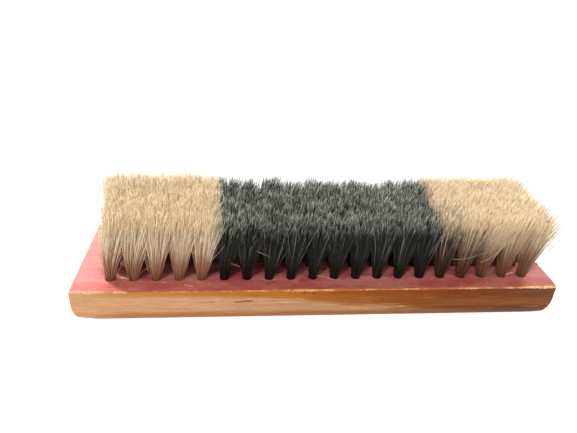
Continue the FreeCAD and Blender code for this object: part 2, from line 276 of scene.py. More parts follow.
def build_block():
    m = 12
    nx, ny = COLS * m, ROWS * m
    xs_c = X0 - PX / 2 + np.arange(nx + 1) * PX / m
    ys_c = Y0 - PY / 2 + np.arange(ny + 1) * PY / m
    ml, mr, mf = 15, 13, 9
    xs = np.concatenate([margin(-LENGTH / 2, xs_c[0], ml)[:-1], xs_c,
                         margin(LENGTH / 2, xs_c[-1], mr)[::-1][1:]])
    ys = np.concatenate([margin(-WIDTH / 2, ys_c[0], mf)[:-1], ys_c,
                         margin(WIDTH / 2, ys_c[-1], mf)[::-1][1:]])
    NX, NY = len(xs), len(ys)
    V, A_edge, A_zone = [], [], []
    Q, Tn = [], []

    def add(p, edge, zone):
        V.append(p)
        A_edge.append(edge)
        A_zone.append(zone)
        return len(V) - 1

    # chips of the front edge: centre along X, half length, how deep they bite
    chips = ((-11.0, 1.6, 0.50), (-6.6, 2.8, 0.40), (5.0, 3.0, 0.40), (38.8, 2.0, 0.26), (49.6, 1.8, 0.24),
             (59.6, 1.6, 0.26), (-32.0, 2.4, 0.26), (-63.0, 1.2, 0.28), (-52.5, 1.6, 0.20), (-85.0, 2.5, 0.25),
             (88.0, 2.2, 0.30), (-90.6, 1.5, 0.30))

    # worn break of the top edge, its size by the place along the outline
    def wear(x, y):
        n = fbm(x * 0.05 + 3.1, y * 0.07 - 7.7, 0.3, 3)
        fine = fbm(x * 0.55, y * 0.55, 4.2, 2)
        chip = max(0.0, fbm(x * 0.22 + 11.0, y * 0.22, 9.0, 2) - 0.22) * 1.6
        b = 0.34 + 0.20 * n + 0.12 * fine + chip
        if abs(y) > 23.5:
            b += 0.30 * max(0.0, (abs(x + 2.0) - 68.0) / 25.0)
        if y < -23.0:
            for c, half, deep in chips:
                b += deep * math.exp(-((x - c) / half) ** 4)
        if x < -94.0:
            b += 0.40
        return min(max(b, 0.18), 1.25)

    def face_dip(x, y):
        """Shallow waviness and dents of the bristle face, never above it."""
        d = 0.05 * (1 + fbm(x * 0.035, y * 0.06, 1.7, 2))
        d += 0.035 * max(0.0, fbm(x * 0.4, y * 1.6, 5.0, 2))
        return d

    # outline, counted round the top
    ring = ([(i, 0) for i in range(NX - 1)] + [(NX - 1, j) for j in range(NY - 1)]
            + [(i, NY - 1) for i in range(NX - 1, 0, -1)] + [(0, j) for j in range(NY - 1, 0, -1)])
    grid_top = {}
    inset = {}
    for (i, j) in ring:
        sx, sy, dx, dy = plan_point(float(xs[i]), float(ys[j]), THICK)
        inset[(i, j)] = (sx, sy, dx, dy, wear(sx, sy))

    # top face: margins and cell borders
    in_cell = lambda i, j: ml < i < ml + nx and mf < j < mf + ny and (i - ml) % m and (j - mf) % m
    for i in range(NX):
        for j in range(NY):
            if in_cell(i, j):
                continue
            x, y = float(xs[i]), float(ys[j])
            if (i, j) in inset:
                sx, sy, dx, dy, b = inset[(i, j)]
                grid_top[(i, j)] = add((sx - dx * b, sy - dy * b, THICK - face_dip(sx, sy) * 0.5), b, 1.0)
            else:
                tx, ty = x, y
                # ease the margin lines inwards, clear of the worn edge
                ex, ey = LENGTH / 2 - abs(tx), WIDTH / 2 - abs(ty)
                if ex < 4.0:
                    tx -= math.copysign(1.25 * (1 - ex / 4.0) ** 1.5, tx)
                if ey < 3.0:
                    ty -= math.copysign(1.25 * (1 - ey / 3.0) ** 1.5, ty)
                e = min(LENGTH / 2 - abs(tx), WIDTH / 2 - abs(ty))
                grid_top[(i, j)] = add((tx, ty, THICK - face_dip(tx, ty)), e, 1.0)
    for i in range(NX - 1):
        for j in range(NY - 1):
            if ml <= i < ml + nx and mf <= j < mf + ny:
                continue
            Q.append((grid_top[(i, j)], grid_top[(i + 1, j)], grid_top[(i + 1, j + 1)], grid_top[(i, j + 1)]))

    # cells with their holes
    fr = (0.38, 0.68, 0.88, 1.0)
    depths = (0.25, 2.0, 5.0, HOLE_D)
    for c in range(COLS):
        for r in range(ROWS):
            cx, cy = X0 + c * PX, Y0 + r * PY
            i0, j0 = ml + c * m, mf + r * m
            loop = ([(i0 + k, j0) for k in range(m)] + [(i0 + m, j0 + k) for k in range(m)]
                    + [(i0 + m - k, j0 + m) for k in range(m)] + [(i0, j0 + m - k) for k in range(m)])
            outer = [grid_top[p] for p in loop]
            ang = [math.atan2(ys[j] - cy, xs[i] - cx) for (i, j) in loop]
            prev = outer
            for f in fr:
                cur = []
                for (i, j), a in zip(loop, ang):
                    ex, ey = cx + HOLE_R * math.cos(a), cy + HOLE_R * math.sin(a)
                    x, y = xs[i] + (ex - xs[i]) * f, ys[j] + (ey - ys[j]) * f
                    lift = 0.10 * math.exp(-((1 - f) / 0.14) ** 2)
                    cur.append(add((x, y, THICK - face_dip(x, y) + min(lift, face_dip(x, y) * 0.9)),
                                   min(LENGTH / 2 - abs(x), WIDTH / 2 - abs(y)), 1.0))
                for k in range(4 * m):
                    k2 = (k + 1) % (4 * m)
                    Q.append((prev[k], prev[k2], cur[k2], cur[k]))
                prev = cur
            for d in depths:
                cur = []
                rr = HOLE_R - (0.06 if d > 0.3 else 0.03)
                for a in ang:
                    cur.append(add((cx + rr * math.cos(a), cy + rr * math.sin(a), THICK - d), 20.0, 0.0))
                for k in range(4 * m):
                    k2 = (k + 1) % (4 * m)
                    Q.append((prev[k], prev[k2], cur[k2], cur[k]))
                prev = cur
            mid = add((cx, cy, THICK - HOLE_D), 20.0, 0.0)
            for k in range(4 * m):
                Tn.append((prev[k], prev[(k + 1) % (4 * m)], mid))

    # worn edge: an uneven quarter round from the face to the side
    prev = [grid_top[p] for p in ring]
    n = len(ring)
    for a in (25.0, 50.0, 75.0, 90.0):
        s_, c_ = math.sin(math.radians(a)), math.cos(math.radians(a))
        cur = []
        for p in ring:
            sx, sy, dx, dy, b = inset[p]
            jag = 0.12 * b * fbm(sx * 1.3, sy * 1.3, a, 1)
            cur.append(add((sx - dx * (b * (1 - s_) + max(jag, 0)), sy - dy * (b * (1 - s_) + max(jag, 0)),
                            THICK - b * (1 - c_) - max(-jag, 0)),
                           b * (0.5 - a / 90.0), 0.5))
        for k in range(n):
            k2 = (k + 1) % n
            Q.append((prev[k2], prev[k], cur[k], cur[k2]))
        prev = cur
    # sides down to the underside
    levels = [13.0, 12.4, 11.8, 11.1, 10.4, 9.7, 9.0, 8.2, 7.5, 6.8, 6.1, 5.4, 4.7, 4.1, 3.5, 3.0, 2.5, 2.05,
              1.65, 1.28, 0.95, 0.67, 0.44, 0.26, 0.13, 0.04, 0.0]
    for z in levels:
        cur = []
        for (i, j) in ring:
            sx, sy, dx, dy = plan_point(float(xs[i]), float(ys[j]), z)
            k = min(1.0, z / 2.0)
            w = 0.09 * (1 + fbm(sx * 0.03, sy * 0.05 + 2.0, z * 0.12, 2)) * k
            w += 0.10 * max(0.0, fbm(sx * 0.10, sy * 0.10, z * 0.9 + 3.0, 2)) * k
            cur.append(add((sx - dx * w, sy - dy * w, z), -(THICK - z), 0.0))
        for k in range(n):
            k2 = (k + 1) % n
            Q.append((prev[k2], prev[k], cur[k], cur[k2]))
        prev = cur
    # underside
    under = {p: v for p, v in zip(ring, prev)}
    for i in range(1, NX - 1):
        for j in range(1, NY - 1):
            sx, sy, dx, dy = plan_point(float(xs[i]), float(ys[j]), 0.0)
            under[(i, j)] = add((sx, sy, 0.0), -30.0, 0.0)
    for i in range(NX - 1):
        for j in range(NY - 1):
            Q.append((under[(i, j)], under[(i, j + 1)], under[(i + 1, j + 1)], under[(i + 1, j)]))
    verts = np.array(V) * MM
    me = mesh_from_arrays("wooden_block_body", verts, Q, Tn)
    add_float(me, "edge_mm", A_edge)
    add_float(me, "face_zone", A_zone)
    block_uv(me, np.array(V))
    return me


def block_uv(me, v):
    """Bake layout: face, underside, two long sides and two ends, each a flat strip."""
    nl = len(me.loops)
    li = np.zeros(nl, np.int32)
    me.loops.foreach_get("vertex_index", li)
    npoly = len(me.polygons)
    st = np.zeros(npoly, np.int32)
    me.polygons.foreach_get("loop_start", st)
    tot = np.diff(np.append(st, nl))
    nor = np.zeros(npoly * 3, np.float32)
    me.polygons.foreach_get("normal", nor)
    nor = nor.reshape(-1, 3)
    cen = np.zeros(npoly * 3, np.float32)
    me.polygons.foreach_get("center", cen)
    cen = cen.reshape(-1, 3) / MM
    pid = np.repeat(np.arange(npoly), tot)
    uv = np.zeros((nl, 2))
    p = v[li]
    S = 1.0 / 196.0
    n, c = nor[pid], cen[pid]
    r2 = np.zeros(nl)
    gx = np.clip(np.round((p[:, 0] - X0) / PX), 0, COLS - 1) * PX + X0
    gy = np.clip(np.round((p[:, 1] - Y0) / PY), 0, ROWS - 1) * PY + Y0
    hole = (np.hypot(c[:, 0] - (np.clip(np.round((c[:, 0] - X0) / PX), 0, COLS - 1) * PX + X0),
                     c[:, 1] - (np.clip(np.round((c[:, 1] - Y0) / PY), 0, ROWS - 1) * PY + Y0)) < HOLE_R + 0.02) \
        & (c[:, 2] > 3) & (np.abs(c[:, 1]) < 20)
    top = (n[:, 2] > 0.55) & ~hole
    low = (n[:, 2] < -0.72) & ~hole
    side = ~top & ~low & ~hole
    front = side & (n[:, 1] < -0.5)
    back = side & (n[:, 1] > 0.5)
    left = side & ~front & ~back & (n[:, 0] < 0)
    right = side & ~front & ~back & (n[:, 0] >= 0)
    # the walls of a hole are a small disc of their own beside the strips
    uv[top] = np.stack([p[top, 0] + 98, p[top, 1] + 27], 1) * S
    uv[low] = np.stack([p[low, 0] + 98, p[low, 1] + 82], 1) * S
    uv[front] = np.stack([p[front, 0] + 98, p[front, 2] + 112], 1) * S
    uv[back] = np.stack([p[back, 0] + 98, p[back, 2] + 130], 1) * S
    uv[left] = np.stack([p[left, 1] + 28, p[left, 2] + 148], 1) * S
    uv[right] = np.stack([p[right, 1] + 88, p[right, 2] + 148], 1) * S
    a = np.arctan2(p[:, 1] - gy, p[:, 0] - gx)
    rad = 0.3 + (THICK - p[:, 2]) * 0.12
    ci = np.round((gx - X0) / PX)
    ri = np.round((gy - Y0) / PY)
    hx = 4 + ci * 3.4 + rad * np.cos(a)
    hy = 168 + ri * 3.4 + rad * np.sin(a)
    uv[hole] = np.stack([hx[hole], hy[hole]], 1) * S
    layer = me.uv_layers.new(name="OFBake")
    layer.data.foreach_set("uv", uv.astype(np.float32).ravel())


def block_material():
    mat = bpy.data.materials.new("stained_wood")
    N = Nodes(mat)
    out = N.new("ShaderNodeOutputMaterial")
    b = N.new("ShaderNodeBsdfPrincipled")
    N.link(b.outputs[0], out.inputs[0])
    co = N.new("ShaderNodeTexCoord").outputs["Object"]
    mm = N.scaled(co, (1000.0, 1000.0, 1000.0))
    sep = N.new("ShaderNodeSeparateXYZ")
    N.link(mm, sep.inputs[0])
    x, y, z = sep.outputs
    edge = N.attribute("edge_mm")
    zone = N.attribute("face_zone")

    # grain: long fibres along X, wandering a little
    wander = N.noise(N.scaled(mm, (0.022, 0.05, 0.05), (7.0, 1.0, 3.0)), 1.0, 2.0, 0.5)
    gz = N.math("MULTIPLY_ADD", N.math("SUBTRACT", wander, 0.5), 5.0, z)
    gc = N.new("ShaderNodeCombineXYZ")
    N.link(x, gc.inputs[0])
    N.link(y, gc.inputs[1])
    N.link(gz, gc.inputs[2])
    grain = gc.outputs[0]
    g1 = N.noise(N.scaled(grain, (0.030, 0.45, 0.50)), 1.0, 3.0, 0.5, 0.3)
    g2 = N.noise(N.scaled(grain, (0.09, 1.5, 1.6), (4.0, 1.0, 0.0)), 1.0, 3.0, 0.55)
    g3 = N.noise(N.scaled(grain, (0.35, 6.0, 6.5), (1.0, 3.0, 2.0)), 1.0, 2.0, 0.5)
    blotch = N.noise(N.scaled(mm, (0.05, 0.10, 0.12), (9.0, 0.0, 5.0)), 1.0, 3.0, 0.5, 0.6)
    fine = N.noise(N.scaled(mm, (1.1, 1.9, 1.9)), 1.0, 3.0, 0.6)
    px = N.smooth(x, -95.0, 95.0)
    lin = N.new("ShaderNodeMapRange", clamp=True)
    N.link(N.math("MULTIPLY_ADD", N.math("SUBTRACT", blotch, 0.5), 26.0, x), lin.inputs[0])
    lin.inputs[1].default_value = -95.0
    lin.inputs[2].default_value = 95.0
    along = lin.outputs[0]

    # --- side, three bands: amber film above, rubbed tan wood, and a darker rounded foot painted as shade of the table contact below it ---
    film = N.ramp(along, [(0.0, srgb(212, 156, 98)), (0.16, srgb(206, 144, 70)), (0.30, srgb(194, 126, 44)),
                          (0.44, srgb(182, 108, 28)), (0.60, srgb(160, 88, 22)), (0.76, srgb(132, 64, 16)),
                          (0.88, srgb(116, 58, 16)), (1.0, srgb(118, 70, 36))])
    tan = N.ramp(along, [(0.0, srgb(222, 170, 126)), (0.22, srgb(219, 168, 124)), (0.45, srgb(206, 155, 112)),
                         (0.62, srgb(198, 142, 104)), (0.74, srgb(160, 98, 58)), (1.0, srgb(140, 84, 46))])
    foot_shade = N.ramp(along, [(0.0, srgb(206, 150, 106)), (0.10, srgb(184, 120, 72)), (0.45, srgb(170, 108, 62)),
                          (0.75, srgb(140, 92, 60)), (0.92, srgb(114, 70, 40)), (1.0, srgb(128, 80, 46))])
    film = N.mix(N.math("MULTIPLY", N.smooth(g1, 0.45, 0.75), 0.45), film, N.mix(0.55, film, srgb(120, 58, 14)))
    film = N.mix(N.math("MULTIPLY", N.smooth(g2, 0.50, 0.66), 0.44), film, N.mix(0.5, film, srgb(206, 138, 64)))
    film = N.mix(N.math("MULTIPLY", N.smooth(g3, 0.52, 0.66), 0.60), film, N.mix(0.6, film, srgb(92, 42, 10)))
    tan = N.mix(N.math("MULTIPLY", N.smooth(g1, 0.42, 0.70), 0.40), tan, srgb(200, 140, 96))
    tan = N.mix(N.math("MULTIPLY", N.smooth(g2, 0.53, 0.70), 0.42), tan, srgb(236, 194, 154))
    tan = N.mix(N.math("MULTIPLY", N.smooth(g3, 0.54, 0.70), 0.42), tan, srgb(176, 118, 74))
    tan = N.mix(N.math("MULTIPLY", N.math("SUBTRACT", 1.0, N.smooth(g2, 0.34, 0.46)), 0.46), tan, srgb(182, 124, 82))
    # lower border of the film falls from the bristle face at the left to the foot at the right
    border = N.ramp(px, [(0.0, 0.985), (0.05, 0.93), (0.17, 0.84), (0.30, 0.77), (0.42, 0.66), (0.53, 0.55),
                         (0.66, 0.44), (0.76, 0.36), (0.86, 0.22), (0.93, 0.0), (1.0, 0.0)])
    bz = N.math("MULTIPLY", border, 14.5)
    bz = N.math("MULTIPLY_ADD", N.math("SUBTRACT", g1, 0.5), 2.6, bz)
    bz = N.math("MULTIPLY_ADD", N.math("SUBTRACT", g2, 0.5), 5.0, bz)
    bz = N.math("MULTIPLY_ADD", N.math("SUBTRACT", g3, 0.5), 3.4, bz)
    filmed = N.smooth(N.math("SUBTRACT", z, bz), -1.3, 1.5)
    side = N.mix(filmed, tan, film)
    # the varnish is thickest right under the edge, and rubbed paler along the middle of the right half
    lip = N.ramp(along, [(0.0, srgb(206, 150, 100)), (0.12, srgb(198, 134, 72)), (0.26, srgb(192, 122, 50)), (0.42, srgb(184, 110, 34)),
                         (0.58, srgb(152, 76, 12)), (0.80, srgb(124, 52, 8)), (1.0, srgb(118, 66, 32))])
    lipz = N.math("MULTIPLY_ADD", N.math("SUBTRACT", g2, 0.5), 1.6, z)
    side = N.mix(N.math("MULTIPLY", N.math("MULTIPLY", N.smooth(lipz, 10.6, 13.2), N.smooth(x, -92.0, -80.0)), 0.92), side, lip)
    mid = N.math("SUBTRACT", 1.0, N.smooth(N.math("ABSOLUTE", N.math("SUBTRACT", lipz, 7.4)), 0.6, 3.0))
    side = N.mix(N.math("MULTIPLY", N.math("MULTIPLY", mid, N.smooth(x, 24.0, 56.0)), 0.42), side, srgb(160, 96, 46))
    # the rounded foot is painted darker: painted shade where it faces the shaded table contact
    foot_shade_top = N.math("MULTIPLY_ADD", N.math("SUBTRACT", g1, 0.5), 1.8, 4.1)
    foot_shade_mask = N.math("SUBTRACT", 1.0, N.smooth(N.math("SUBTRACT", z, foot_shade_top), -1.0, 0.9))
    foot_shade_mask = N.math("MULTIPLY", foot_shade_mask, N.smooth(x, -92.0, -84.0))
    side = N.mix(N.math("MULTIPLY", foot_shade_mask, 0.92), side, foot_shade)
    side = N.mix(N.math("MULTIPLY", N.smooth(g3, 0.60, 0.78), 0.16), side, srgb(70, 38, 16))
    nick = N.noise(N.scaled(mm, (0.55, 2.6, 2.9), (3.0, 8.0, 1.0)), 1.0, 2.0, 0.5)
    side = N.mix(N.math("MULTIPLY", N.smooth(nick, 0.69, 0.75), 0.45), side, srgb(104, 62, 30))
    side = N.mix(1.0, side, (0.86, 0.85, 0.83), "MULTIPLY")

    # --- red stain on the bristle face ---
    rn = N.noise(N.scaled(mm, (0.07, 0.34, 0.3), (2.0, 7.0, 0.0)), 1.0, 4.0, 0.6, 0.5)
    red = N.ramp(rn, [(0.28, srgb(200, 100, 98)), (0.48, srgb(220, 125, 119)), (0.72, srgb(232, 148, 141))])
    # the left end of the face is painted paler pink: painted light and sheen where the key light falls
    red = N.mix(N.math("MULTIPLY", N.math("SUBTRACT", 1.0, N.smooth(x, -93.0, -78.0)), 0.58), red, srgb(238, 180, 178))
    red = N.mix(N.math("MULTIPLY", N.smooth(g2, 0.52, 0.74), 0.35), red, srgb(196, 92, 96))
    red = N.mix(N.math("MULTIPLY", N.smooth(blotch, 0.50, 0.72), 0.35), red, srgb(228, 144, 112))
    patch = N.noise(N.scaled(mm, (0.045, 0.11, 0.1), (1.0, 4.0, 0.0)), 1.0, 3.0, 0.55, 0.8)
    red = N.mix(N.math("MULTIPLY", N.math("MULTIPLY", N.smooth(patch, 0.47, 0.60), N.smooth(x, -92.0, -66.0)), 0.66), red, srgb(192, 74, 90))
    red = N.mix(N.math("MULTIPLY", N.math("SUBTRACT", 1.0, N.smooth(patch, 0.36, 0.47)), 0.55), red, srgb(238, 164, 152))
    # the right end is painted paler and duller: painted light and sheen on the lit end
    red = N.mix(N.math("MULTIPLY", N.smooth(x, 78.0, 90.0), 0.50), red, srgb(212, 160, 148))
    # the front strip between the tufts and the edge lies in the tufts' shadow; it is painted a darker, warmer red as
    # painted shade
    strip = N.math("SUBTRACT", 1.0, N.smooth(y, -21.5, -16.5))
    red = N.mix(N.math("MULTIPLY", strip, 0.46), red, N.mix(N.smooth(x, -40.0, 60.0), srgb(210, 106, 90), srgb(184, 88, 68)))
    scuff = N.noise(N.scaled(mm, (0.35, 1.4, 1.0), (5.0, 2.0, 0.0)), 1.0, 4.0, 0.7, 1.2)
    red = N.mix(N.math("MULTIPLY", N.smooth(scuff, 0.56, 0.70), 0.50), red, srgb(244, 184, 170))
    red = N.mix(N.math("MULTIPLY", N.math("SUBTRACT", 1.0, N.smooth(scuff, 0.34, 0.44)), 0.40), red, srgb(150, 58, 70))
    vor = N.new("ShaderNodeTexVoronoi", feature="F1")
    N.link(N.scaled(mm, (0.20, 0.31, 0.2)), vor.inputs["Vector"])
    vor.inputs["Scale"].default_value = 1.0
    speck = N.math("SUBTRACT", 1.0, N.smooth(vor.outputs["Distance"], 0.04, 0.085))
    red = N.mix(N.math("MULTIPLY", speck, 0.8), red, srgb(252, 214, 200))
    vor2 = N.new("ShaderNodeTexVoronoi", feature="F1")
    N.link(N.scaled(mm, (0.33, 0.42, 0.2), (3.3, 1.7, 0.0)), vor2.inputs["Vector"])
    vor2.inputs["Scale"].default_value = 1.0
    pit = N.math("SUBTRACT", 1.0, N.smooth(vor2.outputs["Distance"], 0.03, 0.08))
    red = N.mix(N.math("MULTIPLY", pit, 0.55), red, srgb(110, 44, 40))

    # scratches and chips of the face: centre, half length, half width, slope
    def streak(cx, cy, half, width, slope):
        ax = N.math("SUBTRACT", x, cx)
        line = N.math("SUBTRACT", N.math("SUBTRACT", y, cy), N.math("MULTIPLY", ax, slope))
        line = N.math("MULTIPLY_ADD", N.math("SUBTRACT", fine, 0.5), width * 1.2, line)
        m1 = N.math("SUBTRACT", 1.0, N.smooth(N.math("ABSOLUTE", line), width * 0.5, width))
        m2 = N.math("SUBTRACT", 1.0, N.smooth(N.math("ABSOLUTE", ax), half * 0.7, half))
        return N.math("MULTIPLY", m1, m2)
    pale = streak(-76.2, -16.2, 2.0, 0.55, -0.40)
    for q in (streak(-74.3, -6.6, 0.9, 0.5, 0.1), streak(-51.6, -21.3, 2.0, 0.32, -0.25),
              streak(79.4, -15.4, 2.4, 0.75, 0.35), streak(-61.0, -19.0, 0.6, 0.3, 0.0)):
        pale = N.math("MAXIMUM", pale, q)
    red = N.mix(pale, red, srgb(250, 196, 186))
    dark = streak(-20.6, -20.2, 0.9, 0.34, 2.4)
    dark = N.math("MAXIMUM", dark, streak(-79.0, -21.3, 3.0, 0.22, 0.2))
    red = N.mix(N.math("MULTIPLY", dark, 0.7), red, srgb(112, 40, 44))

    # --- bare wood of the worn edge ---
    front = N.math("LESS_THAN", N.math("ABSOLUTE", x), 93.6)
    # bare wood of the worn edge, paler at both ends where the light falls and amber along the middle in the tufts'
    # shadow: partly painted light and shade
    bare_wood_and_shade = N.ramp(along, [(0.0, srgb(238, 180, 146)), (0.09, srgb(236, 172, 116)), (0.20, srgb(222, 146, 62)),
                          (0.34, srgb(222, 146, 66)), (0.48, srgb(236, 168, 88)), (0.66, srgb(232, 160, 112)),
                          (0.86, srgb(236, 160, 108)), (1.0, srgb(255, 214, 160))])
    bare_wood_and_shade = N.mix(N.math("MULTIPLY", N.smooth(fine, 0.52, 0.68), 0.7), bare_wood_and_shade, srgb(255, 226, 184))
    bare_wood_and_shade = N.mix(N.math("MULTIPLY", N.smooth(g3, 0.50, 0.66), 0.5), bare_wood_and_shade, srgb(196, 118, 56))
    brk = N.noise(N.scaled(mm, (0.13, 0.3, 0.3), (6.0, 2.0, 1.0)), 1.0, 3.0, 0.6)
    bare_wood_and_shade = N.mix(N.math("MULTIPLY", N.math("MULTIPLY", N.smooth(brk, 0.44, 0.53), N.smooth(x, -86.0, -78.0)), 0.85), bare_wood_and_shade, srgb(184, 104, 46))
    wide = N.math("MULTIPLY_ADD", N.smooth(N.math("ABSOLUTE", N.math("ADD", x, 1.0)), 76.0, 94.0), 0.65, 0.30)
    en = N.math("MULTIPLY_ADD", N.math("SUBTRACT", N.noise(N.scaled(mm, (0.20, 0.20, 0.4)), 1.0, 4.0, 0.65), 0.5), 2.6, edge)
    en = N.math("MULTIPLY_ADD", N.math("SUBTRACT", N.noise(N.scaled(mm, (1.0, 1.8, 1.0)), 1.0, 3.0, 0.6), 0.5), 0.9, en)
    painted = N.smooth(N.math("SUBTRACT", en, wide), -0.10, 0.22)
    painted = N.math("MAXIMUM", painted, N.math("SUBTRACT", 1.0, front))
    paint = N.math("MULTIPLY", painted, N.smooth(zone, 0.6, 0.9))
    on_side = N.smooth(N.math("MULTIPLY", N.math("MULTIPLY_ADD", N.math("SUBTRACT", fine, 0.5), 0.9, edge), -1.0), 0.10, 0.50)
    wood = N.mix(on_side, bare_wood_and_shade, side)
    # stain soaked a little into the wood under the edge
    col = N.mix(paint, wood, red)
    # the walls of the tuft holes
    col = N.mix(N.math("GREATER_THAN", edge, 19.0), col, srgb(150, 84, 60))

    # grain cracks of the front side, and painted shade under two chips of its top edge
    def side_line_mark(cx, cz, length, slope, width):
        ax = N.math("SUBTRACT", x, cx)
        line = N.math("SUBTRACT", N.math("SUBTRACT", z, cz), N.math("MULTIPLY", ax, slope))
        line = N.math("MULTIPLY_ADD", N.math("SUBTRACT", g3, 0.5), 0.7, line)
        m1 = N.math("SUBTRACT", 1.0, N.smooth(N.math("ABSOLUTE", line), width * 0.4, width))
        m2 = N.math("SUBTRACT", 1.0, N.smooth(N.math("ABSOLUTE", ax), length * 0.35, length * 0.55))
        m3 = N.math("LESS_THAN", y, -23.0)
        return N.math("MULTIPLY", N.math("MULTIPLY", m1, m2), m3)
    crk = N.math("MAXIMUM", side_line_mark(-30.6, 9.2, 8.0, 0.09, 0.42), side_line_mark(-42.8, 9.2, 3.0, 0.0, 0.24))
    crk = N.math("MULTIPLY", crk, 0.74)
    # painted shade: darker amber just below two chips of the front edge, for their shaded undersides
    chip_shade = N.math("MAXIMUM", side_line_mark(-5.2, 13.1, 6.5, -0.05, 0.70), side_line_mark(6.2, 12.9, 6.0, -0.05, 0.65))
    col = N.mix(crk, col, srgb(92, 62, 34))
    col = N.mix(N.math("MULTIPLY", N.math("MULTIPLY", chip_shade, N.smooth(fine, 0.38, 0.56)), 0.80), col, srgb(112, 54, 10))
    N.link(col, b.inputs["Base Color"])

    # roughness and relief
    rough = N.math("MULTIPLY_ADD", g2, 0.20, N.math("MULTIPLY_ADD", N.math("SUBTRACT", 1.0, filmed), 0.12, 0.30))
    rough = N.math("MULTIPLY_ADD", N.math("SUBTRACT", 1.0, on_side), 0.14, rough)
    rough = N.math("MULTIPLY_ADD", N.math("MULTIPLY", scuff, paint), 0.14, rough, clamp=True)
    N.link(rough, b.inputs["Roughness"])
    b.inputs["IOR"].default_value = 1.45
    b.inputs["Specular IOR Level"].default_value = 0.14
    h = N.math("MULTIPLY_ADD", g2, 0.5, N.math("MULTIPLY", g3, 0.25))
    h = N.math("MULTIPLY_ADD", paint, 0.35, h)
    h = N.math("MULTIPLY_ADD", scuff, 0.3, h)
    h = N.math("MULTIPLY_ADD", crk, -1.2, h)
    h = N.math("MULTIPLY_ADD", pit, -0.5, h)
    bump = N.new("ShaderNodeBump")
    bump.inputs["Strength"].default_value = 0.30
    bump.inputs["Distance"].default_value = 0.0002
    N.link(h, bump.inputs["Height"])
    N.link(bump.outputs[0], b.inputs["Normal"])
    return mat


# ---------------------------------------------------------------------------
# bristles
# ---------------------------------------------------------------------------
def hair_material(name, dark):
    mat = bpy.data.materials.new(name)
    N = Nodes(mat)
    out = N.new("ShaderNodeOutputMaterial")
    b = N.new("ShaderNodeBsdfPrincipled")
    N.link(b.outputs[0], out.inputs[0])
    t = N.attribute("hair_t")
    r1 = N.attribute("hair_a")
    r2 = N.attribute("hair_b")
    deep = N.attribute("hair_brown_root_shade")
    local = N.attribute("hair_l")
    # the last part of each bristle is painted paler: a painted highlight on the tips
    tip_highlight = N.smooth(local, 0.86, 0.99)
    if dark:
        col = N.ramp(t, [(0.0, srgb(35, 34, 27)), (0.45, srgb(20, 24, 18)), (0.76, srgb(23, 29, 21)), (1.0, srgb(82, 88, 76))])
        col = N.mix(N.math("MULTIPLY", tip_highlight, N.math("MULTIPLY_ADD", t, 2.3, -1.52)), col, srgb(228, 236, 220))
        col = N.mix(N.math("MULTIPLY", N.smooth(r1, 0.38, 0.62), 0.90), col, srgb(12, 15, 11))
        # a few strands picked by hair_b are painted pale grey: partly paler hairs, partly painted highlight glints
        col = N.mix(N.math("MULTIPLY", N.math("MULTIPLY", N.smooth(r2, 0.92, 0.98), 0.70), N.smooth(t, 0.15, 0.7)), col, srgb(184, 188, 172))
        rough, spec = 0.34, 0.55
    else:
        # root-to-tip ramp, brown roots to cream tips; its light upper part also stands in for the glow of backlit hair,
        # a painted light
        col = N.ramp(t, [(0.0, srgb(162, 106, 80)), (0.32, srgb(200, 150, 122)), (0.55, srgb(250, 217, 186)), (0.76, srgb(255, 238, 206)), (0.92, srgb(252, 229, 187)), (1.0, srgb(248, 225, 181))])
        # painted shade between the strands just below the tips, the tips themselves left out
        under = N.math("MULTIPLY", N.smooth(t, 0.70, 0.84), N.math("SUBTRACT", 1.0, N.smooth(local, 0.88, 0.98)))
        col = N.mix(N.math("MULTIPLY", under, 0.12), col, srgb(184, 146, 104))
        col = N.mix(N.math("MULTIPLY", tip_highlight, 0.60), col, srgb(252, 240, 212))
        col = N.mix(N.math("MULTIPLY", N.math("POWER", r1, 2.8), 0.82), col, srgb(172, 130, 86))
        # strands picked by hair_b are painted near white: partly paler hairs, partly painted highlights
        col = N.mix(N.math("MULTIPLY", N.math("MULTIPLY", N.smooth(r2, 0.74, 0.92), N.smooth(t, 0.20, 0.60)), 0.90), col, srgb(255, 242, 214))
        # roots darkened to brown by the root-shade attribute: brown roots and painted shade under the mat and beside
        # the black tufts
        shade = N.math("MULTIPLY_ADD", N.smooth(deep, 0.80, 0.95), -0.24, N.math("MULTIPLY_ADD", deep, -0.22, t))
        low = N.math("SUBTRACT", 1.0, N.smooth(shade, 0.22, 0.74))
        col = N.mix(N.math("MULTIPLY", low, deep), col, N.mix(N.smooth(deep, 0.72, 0.92), srgb(84, 48, 22), srgb(42, 22, 9)))
        col = N.mix(N.math("MULTIPLY", N.smooth(deep, 0.30, 0.50), N.math("SUBTRACT", 1.0, N.smooth(t, 0.80, 1.0))), col, N.mix(1.0, col, (0.93, 0.88, 0.80), "MULTIPLY"))
        rough, spec = 0.42, 0.4
    N.link(col, b.inputs["Base Color"])
    b.inputs["Roughness"].default_value = rough
    b.inputs["Specular IOR Level"].default_value = spec
    return mat


def control(table, row_f, col_f):
    """Bilinear read of a 3 x 3 table, rows front to back, columns left to right."""
    t = np.asarray(table, float)
    i, j = row_f * 2, col_f * 2
    i0, j0 = min(int(i), 1), min(int(j), 1)
    a, c = i - i0, j - j0
    return ((t[i0, j0] * (1 - c) + t[i0, j0 + 1] * c) * (1 - a)
            + (t[i0 + 1, j0] * (1 - c) + t[i0 + 1, j0 + 1] * c) * a)


